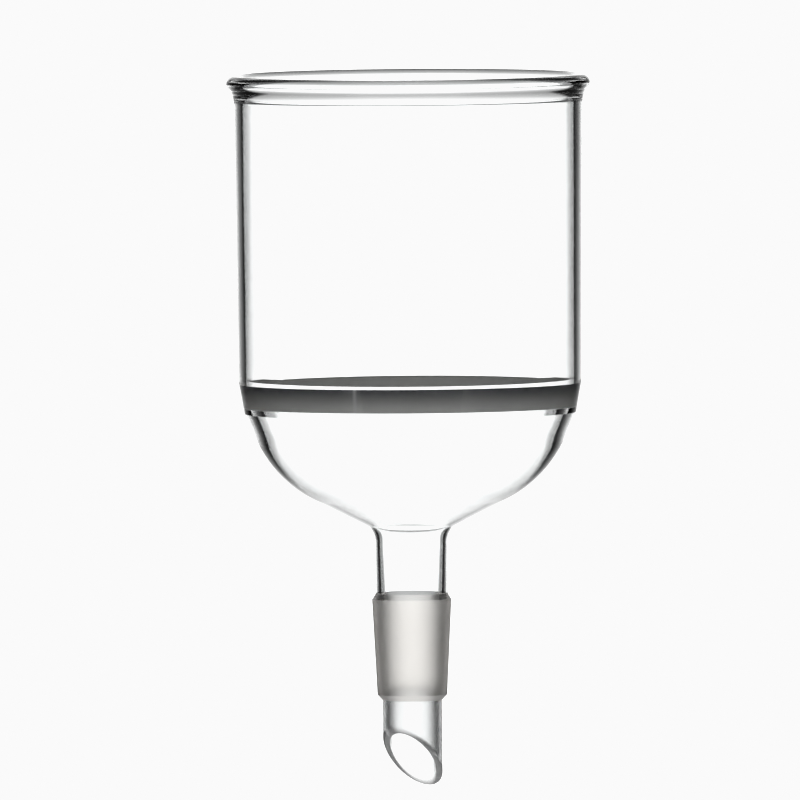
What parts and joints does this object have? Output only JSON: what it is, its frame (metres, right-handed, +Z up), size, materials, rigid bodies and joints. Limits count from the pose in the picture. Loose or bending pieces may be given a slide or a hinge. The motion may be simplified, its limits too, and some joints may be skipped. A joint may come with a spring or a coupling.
{
  "type": "sintered-glass buchner funnel",
  "caption": "Clear glass filter funnel: beaded cylinder over a fused porous disc, dished bowl, short stem, frosted ground cone and an obliquely cut drip tip.",
  "frame": {"origin": "on the axis, in the plane where the ground cone is widest", "axes": "+Z up the axis from the drip tip to the mouth; the tip's long side bears 56 degrees from +X towards +Y"},
  "size_m": [0.1104, 0.1104, 0.2155],
  "materials": {
    "clear_glass": "clear borosilicate glass, fire-polished",
    "ground_glass": "frosted, ground with abrasive",
    "sintered_glass": "white, porous, matt, made of fused glass grains"
  },
  "bodies": {
    "root": {"rim_bead": "clear_glass", "upper_cylinder": "clear_glass", "disc_seal_ring": "clear_glass", "sintered_disc": "sintered_glass", "lower_bowl": "clear_glass", "neck_collar": "clear_glass", "neck_stem": "clear_glass", "ground_cone": "ground_glass", "drip_tip": "clear_glass"}
  },
  "joints": []
}
